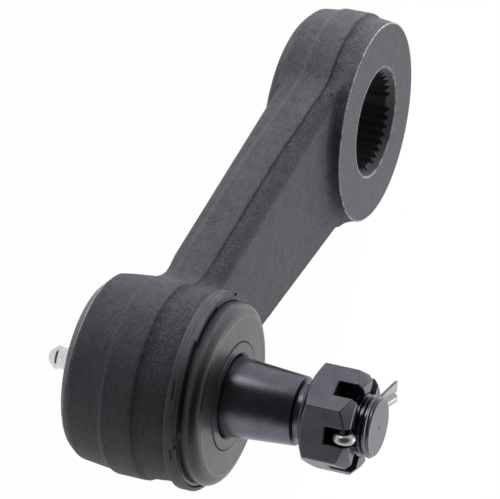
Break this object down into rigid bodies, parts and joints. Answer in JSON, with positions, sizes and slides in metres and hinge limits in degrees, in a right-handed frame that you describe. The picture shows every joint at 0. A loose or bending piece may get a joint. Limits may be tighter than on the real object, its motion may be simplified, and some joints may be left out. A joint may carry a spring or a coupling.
{
  "type": "pitman arm",
  "caption": "Forged steering pitman arm with a serrated boss for the sector shaft and a sealed, greaseable ball stud with castle nut and cotter pin.",
  "frame": {"origin": "centre of the serrated bore, on the boss's machined front face", "axes": "+Z along the bore towards the side that the ball stud stands out of; +X from the bore's axis to the stud's axis"},
  "size_m": [0.1987, 0.0648, 0.0986],
  "materials": {
    "forging": "black coated drop forging, matte, with machined faces",
    "stud_steel": "black oxide over ground steel, glossy",
    "bearing_polymer": "acetal, satin",
    "spring_steel": "spring steel, oiled",
    "cover_steel": "pressed steel, plain",
    "zinc": "bright zinc plate",
    "ring_steel": "black coated pressed steel",
    "boot_rubber": "moulded rubber, satin",
    "neck_ring_rubber": "hard moulded rubber",
    "nut_steel": "black oxide, satin"
  },
  "bodies": {
    "arm": {"pitman_arm": "forging", "upper_bearing": "bearing_polymer", "cover_plate": "cover_steel", "preload_spring": "spring_steel", "grease_fitting": "zinc", "check_ball_spring": "spring_steel", "boot_retaining_ring": "ring_steel"},
    "boot": {"dust_boot": "boot_rubber"},
    "neck": {"boot_neck_ring": "neck_ring_rubber"},
    "stud": {"ball_stud": "stud_steel", "castle_nut": "nut_steel", "cotter_pin": "zinc"},
    "cup": {"lower_bearing": "bearing_polymer"},
    "valve": {"check_ball": "spring_steel"}
  },
  "joints": [
    {"name": "stud_swing_x", "type": "hinge", "parent": "arm", "child": "boot", "pos_m": [0.138, 0, -0.012], "axis": [1, 0, 0], "range_deg": [-15, 15], "deforming": ["dust_boot"]},
    {"name": "stud_swing_y", "type": "hinge", "parent": "boot", "child": "neck", "pos_m": [0.138, 0, -0.012], "axis": [0, 1, 0], "range_deg": [-15, 15]},
    {"name": "stud_spin", "type": "hinge", "parent": "neck", "child": "stud", "pos_m": [0.138, 0, -0.012], "axis": [0, 0, 1], "continuous": true},
    {"name": "cup_slide", "type": "slide", "parent": "arm", "child": "cup", "axis": [0, 0, -1], "range_m": [0, 0.0004], "stiffness_N_per_m": 5000, "springref_m": -0.001, "deforming": ["preload_spring"]},
    {"name": "check_ball_slide", "type": "slide", "parent": "arm", "child": "valve", "axis": [0, 0, 1], "range_m": [0, 0.001], "stiffness_N_per_m": 50, "springref_m": -0.001, "deforming": ["check_ball_spring"]}
  ]
}
